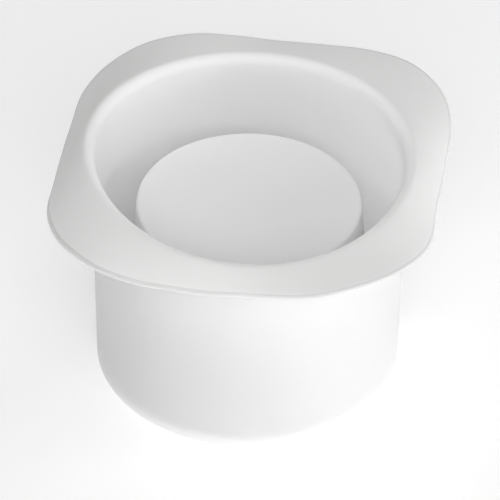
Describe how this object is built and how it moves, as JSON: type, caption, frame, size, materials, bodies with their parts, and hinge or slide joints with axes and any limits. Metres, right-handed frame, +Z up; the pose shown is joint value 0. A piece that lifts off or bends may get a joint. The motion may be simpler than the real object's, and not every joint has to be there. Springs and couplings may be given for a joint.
{
  "type": "casting mould",
  "caption": "Soft white casting mould for a round pot: thin-skinned cup with a floppy square flange, and a loose tapered core standing in it.",
  "frame": {"origin": "middle of the cup's flat underside, where it stands on the bench", "axes": "+Z up along the cup's axis, out of the mouth; +X and +Y square to the straight sides of the flange"},
  "size_m": [0.1353, 0.1374, 0.0931],
  "materials": {
    "soft_skin": "white moulded silicone, satin to matt, slightly translucent where it is thin",
    "firm_core": "white moulded silicone, matt, thicker and firmer than the skin"
  },
  "bodies": {
    "cup": {"mould_cup": "soft_skin"},
    "core": {"core": "firm_core"}
  },
  "joints": [
    {"name": "core_lift", "type": "slide", "parent": "cup", "child": "core", "axis": [0, 0, 1], "range_m": [0, 0.095]}
  ]
}
